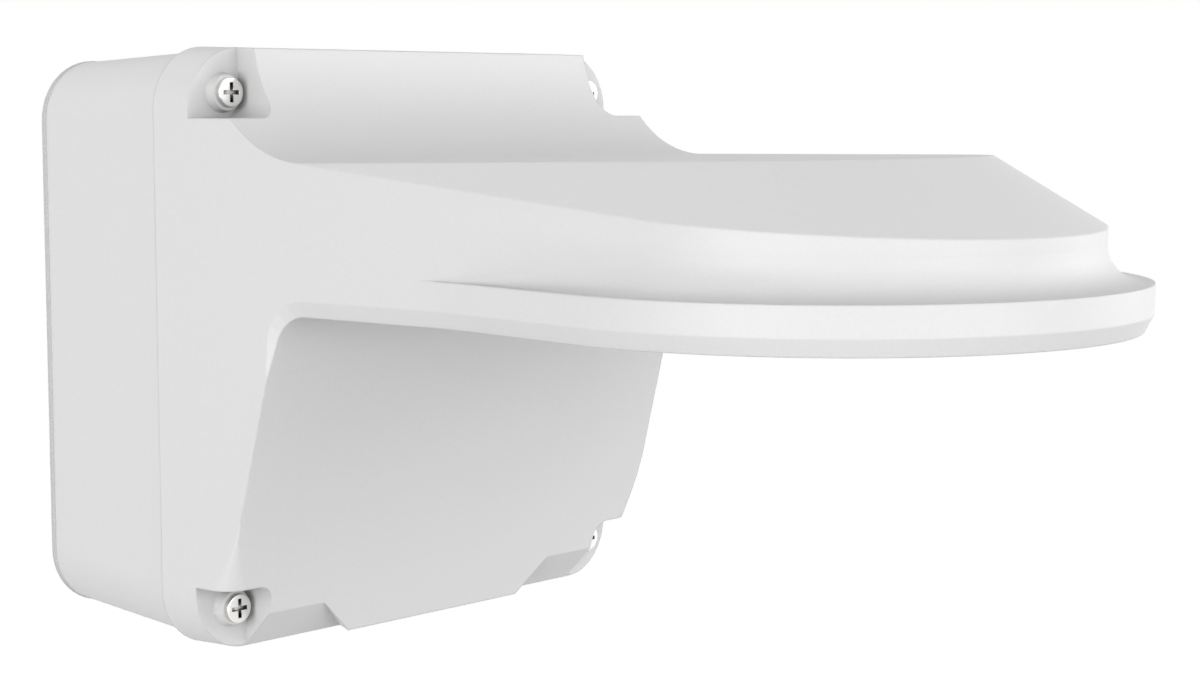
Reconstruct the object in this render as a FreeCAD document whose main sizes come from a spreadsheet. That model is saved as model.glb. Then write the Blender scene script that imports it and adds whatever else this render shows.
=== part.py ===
import FreeCAD, Part
import math
import os

import Sketcher
from FreeCAD import Placement, Rotation, Vector

# Wall bracket for a dome camera: junction box, cast cover with arm and camera plate, four screws.
# X runs across the wall, Y out of the wall with the arm towards -Y, Z up.
# The origin is the middle of the face that lies on the wall. "Depth" is the distance from the wall.

DIMENSIONS = (
    # Wall gasket and junction box
    ("gasket_thick", 2.0, "wall gasket thickness"),
    ("box_back_width", 158.0, "box width and height at the gasket"),
    ("box_front_width", 162.6, "box width and height at the seam"),
    ("box_corner", 17.0, "box corner radius"),
    ("box_floor", 3.5, "box back wall thickness"),
    ("seam_depth", 57.0, "depth of the seam between box and cover"),
    ("cavity_width", 150.6, "width and height of the hollow at the seam"),
    ("cavity_corner", 43.0, "corner radius of the hollow, inside the screws"),
    ("cavity_draft", 1.0, "draft of the hollow in the box, degrees"),
    # Cover
    ("cover_width", 165.0, "cover width and height at the seam"),
    ("cover_front_height", 163.6, "cover height at its front edges"),
    ("cover_corner", 17.0, "cover corner radius"),
    ("cover_wall", 3.2, "cover wall thickness"),
    ("sweep_radius", 36.4, "radius of the hollow sweep above the arm"),
    ("sweep_depth", 113.5, "depth of the sweep's centre"),
    ("face_angle", 15.4, "lean of the face under the arm, degrees"),
    ("face_foot_depth", 77.9, "depth of that face at its foot"),
    ("band_height", 71.5, "how far below the middle the foot chamfers start"),
    ("band_back_depth", 70.0, "depth where the foot chamfers end"),
    ("band_back_height", 82.0, "how far below the middle they end"),
    ("tongue_top", 90.0, "width of the tongue between the foot chamfers, at its top"),
    ("tongue_foot", 69.8, "width of the tongue at its foot"),
    ("tongue_flank", 24.5, "angle of the tongue's flanks to the arm's axis, degrees"),
    # Screw pockets
    ("screw_spacing", 140.0, "side of the square of cover screws"),
    ("pocket_floor", 70.7, "depth of the pocket floors"),
    ("pocket_side", 64.5, "distance of the pockets from the middle, across"),
    ("pocket_ledge", 63.2, "distance of the pockets from the middle, up and down"),
    ("pocket_corner", 5.0, "radius of the pockets' inner corner"),
    ("boss_foot", 10.7, "diameter of the screw seat at the pocket floor"),
    ("boss_top", 9.6, "diameter of the screw seat under the head"),
    ("boss_height", 2.6, "height of the screw seat"),
    # Screw holes
    ("lug_core", 10.0, "diameter of the cored holes behind the box's screw holes"),
    ("lug_core_depth", 36.0, "depth of those cored holes"),
    ("screw_hole", 4.1, "diameter of the screw holes in the box"),
    ("screw_hole_depth", 14.0, "depth of the screw holes in the box"),
    ("cover_screw_hole", 3.4, "diameter of the tapped screw holes in the cover, at the core"),
    # Arm and camera plate
    ("arm_bottom", 12.3, "height of the arm's underside"),
    ("arm_top", 51.9, "height of the arm's top at the foot of the sweep"),
    ("arm_rise", 1.0, "rise of the arm's top towards its end, degrees"),
    ("inner_fillet", 9.5, "fillet between the arm's underside and the face"),
    ("plate_depth", 218.6, "depth of the camera plate's centre"),
    ("plate_radius", 81.4, "radius of the camera plate's rim"),
    ("plate_top", 24.0, "height of the rim's upper edge"),
    ("drum_radius", 70.0, "radius of the arm's rounded end above the rim"),
    ("cove_radius", 9.2, "cove between the rounded end and the rim"),
    ("flare_depth", 161.0, "depth where the rim leaves the arm's sides"),
    ("flare_bend", 90.0, "radius of the bend where the rim leaves the arm's sides"),
    ("rim_chamfer_in", 2.2, "chamfer under rim and arm, across"),
    ("rim_chamfer_up", 4.3, "chamfer under rim and arm, upwards"),
    ("chamfer_end", 25.4, "length over which that chamfer runs out down the face"),
    ("corner_start", 44.0, "how far below the middle the face's side edges start to round"),
    ("corner_end_radius", 7.0, "radius of those edges where they meet the pockets"),
    ("bevel_depth", 211.3, "depth of the bevel cone's axis"),
    ("bevel_radius", 77.5, "radius of the bevel cone at its reference height"),
    ("bevel_height", 36.6, "reference height of the bevel cone"),
    ("bevel_slope", 31.3, "slope of the bevel, degrees from level"),
    ("bevel_side", 13.7, "angle of the side bevels to the arm's axis, degrees"),
    ("bevel_start", 109.7, "depth where the side bevels run out"),
    # Screws
    ("head_size", 8.1, "diameter of the screw heads"),
    ("head_height", 1.7, "height of the screw heads"),
    ("shank_size", 4.0, "screw thread diameter"),
    ("waist_size", 3.0, "diameter of the waist that keeps the cover screws captive"),
    ("screw_length", 25.0, "length of the cover screws under the head"),
    ("recess_length", 5.3, "length of the cross recess"),
    ("recess_width", 1.1, "width of the cross recess"),
    ("recess_depth", 1.2, "depth of the cross recess"),
    # Seal between box and cover
    ("seal_half", 78.3, "distance of the seal's middle line from the middle"),
    ("seal_corner", 46.0, "corner radius of the seal's middle line"),
    ("seal_width", 2.4, "width of the seal"),
    ("seal_thick", 1.8, "thickness of the seal"),
    # Wall side
    ("wall_holes", 100.0, "side of the square of wall screw holes"),
    ("wall_hole", 6.5, "diameter of the wall screw holes"),
    ("wall_pad", 16.0, "diameter of the pads round the wall screw holes"),
    ("wall_pad_height", 1.5, "height of those pads"),
    ("rear_hole", 30.0, "diameter of the cable hole in the back wall"),
    ("grommet_bore", 10.0, "diameter of the grommets' cable bore"),
    # Earth point
    ("earth_drop", 45.0, "how far below the middle the earth point sits"),
    ("earth_boss", 9.0, "diameter of its boss"),
    ("earth_boss_height", 8.0, "height of its boss"),
    # Conduit entry
    ("conduit_depth", 30.0, "depth of the conduit entry's axis"),
    ("conduit_bore", 24.0, "diameter of the conduit entry"),
    ("conduit_land", 34.0, "diameter of the flat land round the conduit entry"),
    ("plug_head", 30.0, "diameter of the plug's head"),
    ("plug_head_thick", 4.0, "thickness of the plug's head"),
    ("plug_length", 13.0, "length of the plug's thread"),
    # Camera side
    ("plate_hole", 34.0, "diameter of the cable hole in the camera plate"),
    ("plate_recess", 41.0, "diameter of the recess round it, for the grommet's lip"),
    ("plate_recess_depth", 1.8, "depth of that recess"),
    ("plate_pad", 47.0, "diameter of the thicker middle of the camera plate"),
    ("camera_circle", 104.0, "diameter of the circle of camera screw holes"),
    ("camera_hole", 3.3, "diameter of the tapped camera screw holes"),
    ("camera_boss", 9.0, "diameter of the bosses over them"),
    ("camera_boss_top", 25.0, "height of those bosses' tops"),
    ("relief_inner", 70.5, "inner radius of the relief under the rim"),
    ("relief_outer", 76.5, "outer radius of the relief under the rim"),
    ("relief_depth", 7.0, "depth of that relief"),
)


class Size:
    """A size worked out from the sheet: its value now, and the expression that gives it."""

    def __init__(self, value, text):
        self.value = value
        self.text = text

    def join(self, other, sign, value):
        return Size(value, "(%s %s %s)" % (self.text, sign, other.text))

    def __add__(self, other):
        other = as_size(other)
        return self.join(other, "+", self.value + other.value)

    def __sub__(self, other):
        other = as_size(other)
        return self.join(other, "-", self.value - other.value)

    def __mul__(self, other):
        other = as_size(other)
        return self.join(other, "*", self.value * other.value)

    def __truediv__(self, other):
        other = as_size(other)
        return self.join(other, "/", self.value / other.value)

    def __neg__(self):
        return Size(-self.value, "(-1 * %s)" % self.text)


def as_size(item):
    """A plain number as a size."""
    if isinstance(item, Size):
        return item
    return Size(float(item), "(%s)" % float(item))


def root(item):
    return Size(math.sqrt(item.value), "sqrt(%s)" % item.text)


def sine(angle):
    return Size(math.sin(math.radians(angle.value)), "sin(%s)" % angle.text)


def cosine(angle):
    return Size(math.cos(math.radians(angle.value)), "cos(%s)" % angle.text)


def tangent(angle):
    return Size(math.tan(math.radians(angle.value)), "tan(%s)" % angle.text)


class Sheet:
    """The driving dimensions, each a cell with an alias, read here as sizes."""

    def __init__(self, doc):
        self.cells = doc.addObject("Spreadsheet::Sheet", "Sheet")
        for row, (alias, value, note) in enumerate(DIMENSIONS, 1):
            self.cells.set("A%d" % row, note)
            self.cells.set("B%d" % row, str(value))
            self.cells.setAlias("B%d" % row, alias)
            setattr(self, alias, Size(value, "Sheet." + alias))
        doc.recompute()


DOC = FreeCAD.newDocument("camera_bracket")
D = Sheet(DOC)

# How a sketch lies: its own x and y as seen in the part's frame.
FLOOR = Rotation()
SIDE = Rotation(Vector(1, 1, 1), 120)
FRONT = Rotation(Vector(1, 0, 0), 90)


def bind(thing, name, size):
    """Tie one property of an object to the sheet."""
    thing.setExpression(name, as_size(size).text)


def arc_between(start, end, radius, turn):
    """The arc from start to end that turns left (turn 1) or right (turn -1), under 180 degrees."""
    chord = end - start
    rise = math.sqrt(max(radius * radius - chord.Length ** 2 / 4, 0.0))
    aside = Vector(-chord.y, chord.x, 0).normalize() * rise * turn
    centre = (start + end) * 0.5 + aside
    first, last = (start, end) if turn > 0 else (end, start)
    angles = [math.atan2(p.y - centre.y, p.x - centre.x) for p in (first, last)]
    circle = Part.Circle(centre, Vector(0, 0, 1), radius)
    return Part.ArcOfCircle(circle, angles[0], angles[1])


def draw(sketch, corners):
    """Draw a closed outline. A corner is (u, v), or (u, v, radius, turn) where an arc ends in it.
    Every corner is pinned to the origin and every arc has its radius, all tied to the sheet."""
    points = [Vector(as_size(c[0]).value, as_size(c[1]).value, 0) for c in corners]
    ends = []
    for place, corner in enumerate(corners):
        start, end = points[place - 1], points[place]
        if len(corner) == 2:
            index = sketch.addGeometry(Part.LineSegment(start, end))
            ends.append((index, 1, 2))
            continue
        radius, turn = as_size(corner[2]), corner[3]
        index = sketch.addGeometry(arc_between(start, end, radius.value, turn))
        ends.append((index, 1, 2) if turn > 0 else (index, 2, 1))
        size = Sketcher.Constraint("Radius", index, radius.value)
        bind(sketch, "Constraints[%d]" % sketch.addConstraint(size), radius)
    for place, corner in enumerate(corners):
        index, _, last = ends[place]
        after, first, _ = ends[(place + 1) % len(ends)]
        sketch.addConstraint(Sketcher.Constraint("Coincident", index, last, after, first))
        for kind, size in zip(("DistanceX", "DistanceY"), corner):
            size = as_size(size)
            pin = Sketcher.Constraint(kind, -1, 1, index, last, size.value)
            bind(sketch, "Constraints[%d]" % sketch.addConstraint(pin), size)


def sketch_on(name, plane, outlines, offset=None):
    """A sketch of closed outlines on the FLOOR, SIDE or FRONT plane, moved along its normal."""
    sketch = DOC.addObject("Sketcher::SketchObject", name)
    sketch.Placement = Placement(Vector(), plane)
    if offset is not None:
        normal = plane.multVec(Vector(0, 0, 1))
        axis = "xyz"[max(range(3), key=lambda k: abs(normal[k]))]
        sign = 1 if max(normal, key=abs) > 0 else -1
        bind(sketch, "Placement.Base." + axis, offset * sign)
    for corners in outlines:
        draw(sketch, corners)
    return sketch


def extrude(name, sketch, length, back=0.0):
    """A solid that runs length along the sketch's normal, and back the other way."""
    solid = DOC.addObject("Part::Extrusion", name)
    solid.Base = sketch
    solid.DirMode = "Normal"
    solid.Solid = True
    bind(solid, "LengthFwd", length)
    bind(solid, "LengthRev", back)
    return solid


def loft(name, sections):
    """A solid with straight sides between sketches."""
    solid = DOC.addObject("Part::Loft", name)
    solid.Sections = sections
    solid.Solid = True
    solid.Ruled = True
    return solid


def common(name, shapes):
    solid = DOC.addObject("Part::MultiCommon", name)
    solid.Shapes = shapes
    return solid


def fuse(name, shapes):
    solid = DOC.addObject("Part::MultiFuse", name)
    solid.Shapes = shapes
    solid.Refine = True
    return solid


def cut(name, base, tools):
    """The base less all the tools."""
    tool = tools[0] if len(tools) == 1 else fuse(name + "_tools", tools)
    solid = DOC.addObject("Part::Cut", name)
    solid.Base = base
    solid.Tool = tool
    solid.Refine = True
    return solid


def tangent_angle(across, along, radius):
    """The angle to the arm's axis of the line from a point beside it that touches a circle."""
    reach = root(across * across + along * along)
    touch = Size(math.degrees(math.acos(radius.value / reach.value)),
                 "acos(%s / %s)" % (radius.text, reach.text))
    lean = Size(math.degrees(math.atan(along.value / across.value)),
                "atan(%s / %s)" % (along.text, across.text))
    return touch - lean


def round_end(start_across, start_depth, centre, radius, angle):
    """Plan outline: two straight sides that touch a circle around the arm's end."""
    across = radius * cosine(angle)
    depth = centre + radius * sine(angle)
    return [
        (-start_across, -start_depth),
        (-across, -depth),
        (as_size(0), -(centre + radius), radius, 1),
        (across, -depth, radius, 1),
        (start_across, -start_depth),
    ]


def side_profile(wall, back, half, top_half):
    """Side outline of cover and arm down to the foot of the face. wall moves the faces inwards."""
    drop = D.arm_top + D.sweep_radius - top_half
    sweep = D.sweep_radius + wall
    top_depth = D.sweep_depth - root(sweep * sweep - drop * drop)
    end_depth = D.plate_depth + D.plate_radius + 5
    end_top = D.arm_top - wall + (end_depth - D.sweep_depth) * tangent(D.arm_rise)
    floor = D.arm_bottom + wall
    fillet = D.inner_fillet + wall
    reach = fillet / tangent((D.face_angle + 90) / 2)
    corner = face_depth(floor, wall)
    return [
        (-back, -half),
        (-back, half),
        (-top_depth, top_half),
        (-D.sweep_depth, D.arm_top - wall, sweep, -1),
        (-end_depth, end_top),
        (-end_depth, floor),
        (-(corner + reach), floor),
        (-(corner - reach * sine(D.face_angle)), floor - reach * cosine(D.face_angle), fillet, -1),
    ]


def face_depth(height, wall):
    """Depth of the leaning face under the arm at a height, wall inside its surface."""
    rise = height + D.cover_front_height / 2
    return D.face_foot_depth - wall / cosine(D.face_angle) + rise * tangent(D.face_angle)


def bevel_cutter(name, wall):
    """What the bevel takes away: a block over the arm less a hopper with a rounded end."""
    low, high = D.plate_top + 5, D.arm_top + 10
    inset = wall / sine(D.bevel_slope)
    sections = []
    for label, height in (("low", low - 1), ("high", high + 1)):
        radius = D.bevel_radius - inset - (height - D.bevel_height) / tangent(D.bevel_slope)
        along = D.bevel_depth - D.bevel_start
        across = (radius + along * sine(D.bevel_side)) / cosine(D.bevel_side)
        corners = round_end(across, D.bevel_start, D.bevel_depth, radius, D.bevel_side)
        sections.append(sketch_on("%s_bevel_%s" % (name, label), FLOOR, [corners], height))
    hopper = loft(name + "_hopper", sections)
    block = plan_block(name + "_block", D.bevel_start, low, high - low)
    return cut(name + "_bevel", block, [hopper])


def plan_block(name, start_depth, low, tall):
    """A block over the arm's whole width, from a depth to past the arm's end."""
    far = D.plate_depth + D.plate_radius + 10
    side = D.cover_width
    corners = [(-side, -far), (side, -far), (side, -start_depth), (-side, -start_depth)]
    return extrude(name, sketch_on(name + "_plan", FLOOR, [corners], low), tall)


def cover_form(name, wall, back, half, top_half, foot):
    """Cover and arm as one solid, from a side outline, a plan outline and the bevel. foot closes
    the side outline; a wall above 0 gives the hollow inside."""
    outline = side_profile(wall, back, half, top_half) + foot
    side = extrude(name + "_side", sketch_on(name + "_profile", SIDE, [outline]),
                   D.cover_width / 2, D.cover_width / 2)
    drum = D.drum_radius - wall
    angle = tangent_angle(half, D.plate_depth - back, drum)
    plan = sketch_on(name + "_plan", FLOOR, [round_end(half, back, D.plate_depth, drum, angle)])
    upright = extrude(name + "_upright", plan, D.cover_width, D.cover_width)
    form = common(name + "_form", [side, upright])
    return cut(name, form, [bevel_cutter(name, wall)])


def rounded_square(half, radius):
    """Corners of a square with rounded corners, middle on the origin."""
    flat = half - radius
    return [
        (half, flat),
        (flat, half, radius, 1),
        (-flat, half),
        (-half, flat, radius, 1),
        (-half, -flat),
        (-flat, -half, radius, 1),
        (flat, -half),
        (half, -flat, radius, 1),
    ]


def screw_places():
    """The four corners of the screw square, as signs across and up."""
    return [(across, up) for up in (1, -1) for across in (-1, 1)]


def cover_pockets():
    """The corner pockets that the screws sit in, open to the sides, with a rounded inner corner."""
    outlines = []
    far = D.cover_width
    for across, up in screw_places():
        side, ledge = D.pocket_side, D.pocket_ledge
        outlines.append([
            (far * across, far * up),
            (side * across, far * up),
            (side * across, (ledge + D.pocket_corner) * up),
            ((side + D.pocket_corner) * across, ledge * up, D.pocket_corner, across * up),
            (far * across, ledge * up),
        ])
    sketch = sketch_on("cover_pocket_plan", FRONT, outlines, D.pocket_floor)
    return extrude("cover_pockets", sketch, D.cover_width, D.pocket_floor)


def foot_chamfers():
    """The slanted bands under the face, left and right of the tongue. The tongue's flanks are not
    square to the wall, so each cutter is pushed in aslant."""
    front_depth = face_depth(-D.band_height, as_size(0))
    rise = (D.band_back_height - D.band_height) / (front_depth - D.band_back_depth)
    past = as_size(8)
    above, below = D.band_height - past * rise, D.band_back_height + past * rise
    low = [
        (-(front_depth + past), -above),
        (-(D.band_back_depth - past), -below),
        (-(front_depth + past), -below),
    ]
    wedge = extrude("foot_wedge", sketch_on("foot_wedge_side", SIDE, [low]),
                    D.cover_width, D.cover_width)
    lean = (D.tongue_top - D.tongue_foot) / 2 / (D.cover_front_height / 2 - D.band_height)
    blocks = []
    for label, sign in (("left", -1), ("right", 1)):
        top = D.tongue_top / 2 + past * lean
        foot = D.tongue_top / 2 - (below - D.band_height) * lean
        corners = [
            (top * sign, -(D.band_height - past)),
            (foot * sign, -below),
            (D.cover_width * sign, -below),
            (D.cover_width * sign, -(D.band_height - past)),
        ]
        plan = sketch_on("foot_%s_plan" % label, FRONT, [corners], front_depth)
        block = extrude("foot_%s_block" % label, plan, past * 3)
        block.DirMode = "Custom"
        block.Dir = Vector(-sign * tangent(D.tongue_flank).value, 1, 0)
        blocks.append(block)
    return common("foot_chamfers", [wedge, fuse("foot_blocks", blocks)])


def ring_of_seats():
    """The raised seats under the screw heads, one cone in each pocket."""
    seats = []
    for across, up in screw_places():
        seat = DOC.addObject("Part::Cone", "screw_seat_%d" % (len(seats) + 1))
        bind(seat, "Radius1", D.boss_foot / 2)
        bind(seat, "Radius2", D.boss_top / 2)
        bind(seat, "Height", D.boss_height)
        seat.Placement = Placement(Vector(), FRONT)
        bind(seat, "Placement.Base.x", D.screw_spacing / 2 * across)
        bind(seat, "Placement.Base.y", -D.pocket_floor)
        bind(seat, "Placement.Base.z", D.screw_spacing / 2 * up)
        seats.append(seat)
    return seats


def side_angle():
    """Angle between the arm's sides and its axis."""
    return tangent_angle(D.cover_width / 2, D.plate_depth - D.seam_depth, D.drum_radius)


def side_across(depth):
    """Distance of the arm's sides from the middle at a depth."""
    return D.cover_width / 2 - (depth - D.seam_depth) * tangent(side_angle())


def flare_angle():
    """Angle of the lines that lead from the arm's sides to the rim; below 0, as they go outwards."""
    along = D.plate_depth - D.flare_depth
    return tangent_angle(side_across(D.flare_depth), along, D.plate_radius)


def rim_outline(start_depth, inset):
    """Plan outline of arm and rim from a depth to the tip, moved inwards by inset. The arm's side
    bends outwards in a wide arc and then runs straight up to the rim's circle."""
    side, flare = side_angle(), flare_angle()
    bend = D.flare_bend * tangent((side - flare) / 2)
    before_depth = D.flare_depth - bend * cosine(side)
    before_across = side_across(before_depth)
    after_depth = D.flare_depth + bend * cosine(flare)
    after_across = side_across(D.flare_depth) - bend * sine(flare)
    radius = D.plate_radius - inset
    points = [
        (side_across(start_depth) - inset / cosine(side), start_depth),
        (before_across - inset * cosine(side), before_depth - inset * sine(side)),
        (after_across - inset * cosine(flare), after_depth - inset * sine(flare)),
        (radius * cosine(flare), D.plate_depth + radius * sine(flare)),
    ]
    bow = D.flare_bend + inset
    start, before, after, touch = points
    return [
        (-start[0], -start[1]),
        (-before[0], -before[1]),
        (-after[0], -after[1], bow, -1),
        (-touch[0], -touch[1]),
        (as_size(0), -(D.plate_depth + radius), radius, 1),
        (touch[0], -touch[1], radius, 1),
        (after[0], -after[1]),
        (before[0], -before[1], bow, -1),
        (start[0], -start[1]),
    ]


def cove_section(name, across, depth, radius):
    """Section of the cove over the rim, square to the arm's side, at a point of that side."""
    lean = side_angle()
    inside, low = as_size(-1), D.plate_top - 1
    outline = [
        (inside, low),
        (radius, low),
        (radius, D.plate_top),
        (as_size(0), D.plate_top + radius, radius, -1),
        (inside, D.plate_top + radius),
    ]
    sketch = sketch_on(name, FLOOR, [outline])
    sketch.Placement = Placement(Vector(), Rotation(Vector(0, 0, 1), -lean.value) * FRONT)
    bind(sketch, "Placement.Base.x", across)
    bind(sketch, "Placement.Base.y", -depth)
    return sketch


def rim_coves():
    """The cove: it grows along each side of the arm, then runs round the arm's end."""
    lean = side_angle()
    touch_across = D.drum_radius * cosine(lean)
    touch_depth = D.plate_depth + D.drum_radius * sine(lean)
    first_depth = D.flare_depth + 2
    first = cove_section("cove_first", side_across(first_depth), first_depth, as_size(0.3))
    last = cove_section("cove_last", touch_across, touch_depth, D.cove_radius)
    right = loft("cove_right", [first, last])
    section = cove_section("cove_round", touch_across, touch_depth, D.cove_radius)
    end = DOC.addObject("Part::Revolution", "cove_end")
    end.Source = section
    end.Axis = Vector(0, 0, -1)
    bind(end, "Base.y", -D.plate_depth)
    bind(end, "Angle", Size(180.0, "180 deg") - lean * 2)
    end.Solid = True
    return [right, mirrored("cove_left", right), end]


def add_rim(form):
    """The camera plate's rim and the cove above it, joined to the arm."""
    outline = rim_outline(D.flare_depth, as_size(0))[1:-1]
    plan = sketch_on("rim_plan", FLOOR, [outline], D.arm_bottom)
    rim = extrude("rim", plan, D.plate_top - D.arm_bottom)
    return fuse("rim_form", [form, rim] + rim_coves())


def rim_chamfer(start_depth):
    """The chamfer under rim and arm: a flat ring less a hopper that follows the outline."""
    low, high = D.arm_bottom - 1, D.arm_bottom + D.rim_chamfer_up + 1
    sections = []
    for label, height in (("low", low), ("high", high)):
        share = (D.arm_bottom + D.rim_chamfer_up - height) / D.rim_chamfer_up
        outline = rim_outline(start_depth, D.rim_chamfer_in * share)
        sections.append(sketch_on("chamfer_" + label, FLOOR, [outline], height))
    hopper = loft("chamfer_hopper", sections)
    block = plan_block("chamfer_block", start_depth, low, high - low)
    return cut("rim_chamfer", block, [hopper])


def chamfer_run_out(start_depth):
    """The chamfer's end: it follows the fillet under the arm and fades down the face's edge."""
    lean = 90 - D.face_angle.value
    radius = D.inner_fillet.value
    centre = Vector(0, -start_depth.value, D.arm_bottom.value - radius)
    total = D.chamfer_end.value
    straight = total - math.radians(lean) * radius
    stations = [(angle, 0.0) for angle in (0.0, lean / 4, lean / 2, lean * 3 / 4, lean)]
    stations += [(lean, straight / 2), (lean, straight)]
    sections = []
    for place, (angle, down) in enumerate(stations, 1):
        run = math.radians(angle) * radius + down
        share = 1.0 - 1.1 * (run / total) ** 1.3
        turn = math.radians(angle)
        base = centre + Vector(0, math.cos(turn), -math.sin(turn)) * down
        inward, upward = D.rim_chamfer_in.value * share, D.rim_chamfer_up.value * share
        edge_depth = -base.y - radius * math.sin(turn)
        high_depth = -base.y - (radius + upward) * math.sin(turn)
        start = Vector(side_across(as_size(edge_depth)).value - inward, radius, 0)
        end = Vector(side_across(as_size(high_depth)).value, radius + upward, 0)
        if share < 0:
            start.x, end.y = start.x + 0.2, end.y - 0.2
        over = (end - start) * 0.3
        if place == len(stations):
            over = Vector(0.6, 1.2, 0)
        start, end = start - over, end + over
        outer = Vector(end.x + 2, start.y, 0)
        sketch = sketch_on("run_out_%d" % place, FLOOR, [[tuple(p)[:2] for p in (start, outer, end)]])
        sketch.Placement = Placement(base, Rotation(Vector(1, 0, 0), 90 - angle))
        sections.append(sketch)
    return loft("run_out", sections)


def mirrored(name, source):
    """The same solid on the other side of the middle plane."""
    solid = DOC.addObject("Part::Mirroring", name)
    solid.Source = source
    solid.Normal = Vector(1, 0, 0)
    return solid


def face_corner():
    """Rounds the lower side edge of the leaning face, from nothing to the full radius."""
    lean = side_angle().value
    interior = math.radians(90 + lean)
    start, end = D.corner_start.value, D.pocket_ledge.value
    sections = []
    for place, share in enumerate((0.0, 0.25, 0.5, 0.75, 1.0, 1.25), 1):
        height = -(start + (end - start) * share)
        radius = max(D.corner_end_radius.value * share ** 1.5, 0.15)
        front = face_depth(as_size(height), as_size(0))
        side = side_across(front)
        reach = radius / math.tan(interior / 2)
        turn = math.radians(lean)
        low = (side + reach * math.sin(turn), -(front - reach * math.cos(turn)))
        high = (side - reach, -front)
        outline = [
            (side + 3, -(front + 3)),
            (side + 3, low[1]),
            low,
            (high[0], high[1], as_size(radius), -1),
            (high[0], -(front + 3)),
        ]
        sections.append(sketch_on("face_corner_%d" % place, FLOOR, [outline], as_size(height)))
    return loft("face_corner", sections)


def rounded_block(name, half_low, half_high, depth_low, depth_high, corner):
    """A solid between two rounded rectangles that face the wall. A half is (across, up, down)."""
    sections = []
    for label, half, depth in (("low", half_low, depth_low), ("high", half_high, depth_high)):
        across, up, down = half
        outline = [
            (across, up - corner),
            (across - corner, up, corner, 1),
            (-(across - corner), up),
            (-across, up - corner, corner, 1),
            (-across, -(down - corner)),
            (-(across - corner), -down, corner, 1),
            (across - corner, -down),
            (across, -(down - corner), corner, 1),
        ]
        sections.append(sketch_on("%s_%s" % (name, label), FRONT, [outline], depth))
    return loft(name, sections)


def cover_flange():
    """The cover's square part between the seam and the pocket floors."""
    run = D.pocket_floor - D.seam_depth
    half = D.cover_width / 2
    loss = half - D.cover_front_height / 2
    drop = D.arm_top + D.sweep_radius - D.cover_front_height / 2
    top_depth = D.sweep_depth - root(D.sweep_radius * D.sweep_radius - drop * drop)
    up = half - loss * run / (top_depth - D.seam_depth)
    down = half - loss * run / (D.face_foot_depth - D.seam_depth)
    return rounded_block("cover_flange", (half, half, half), (side_across(D.pocket_floor), up, down),
                        D.seam_depth, D.pocket_floor, D.cover_corner)


def round_bar(name, radius, low, high, place, along=FRONT):
    """A cylinder between two distances along FRONT's depth or up from the floor."""
    bar = DOC.addObject("Part::Cylinder", name)
    bind(bar, "Radius", radius)
    bind(bar, "Height", high - low)
    bar.Placement = Placement(Vector(), along)
    spots = [place[0], -low, place[1]] if along is FRONT else [place[0], place[1], low]
    for axis, spot in zip("xyz", spots):
        bind(bar, "Placement.Base." + axis, spot)
    return bar


def cover_hollow():
    """The hollow inside cover and arm, open towards the box."""
    wall, half = D.cover_wall, D.cavity_width / 2
    knee = D.band_height - wall / 2
    front_depth = face_depth(-D.band_height, as_size(0))
    slope = (D.band_back_height - D.band_height) / (front_depth - D.band_back_depth)
    knee_depth = face_depth(-knee, wall)
    foot = [(-knee_depth, -knee), (-(knee_depth - (half - knee) / slope), -half)]
    form = cover_form("cover_inner", wall, D.seam_depth - 1, half, half, foot)
    tube = sketch_on("hollow_tube_plan", FRONT, [rounded_square(half, D.cavity_corner)],
                     D.seam_depth - 2)
    return common("cover_hollow", [form, extrude("hollow_tube", tube, as_size(250))])


def camera_places():
    """The four camera screw holes, as plan positions."""
    step = D.camera_circle / 2 * cosine(as_size(45))
    return [(step * across, -(D.plate_depth + step * along)) for across in (-1, 1)
            for along in (-1, 1)]


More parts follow.
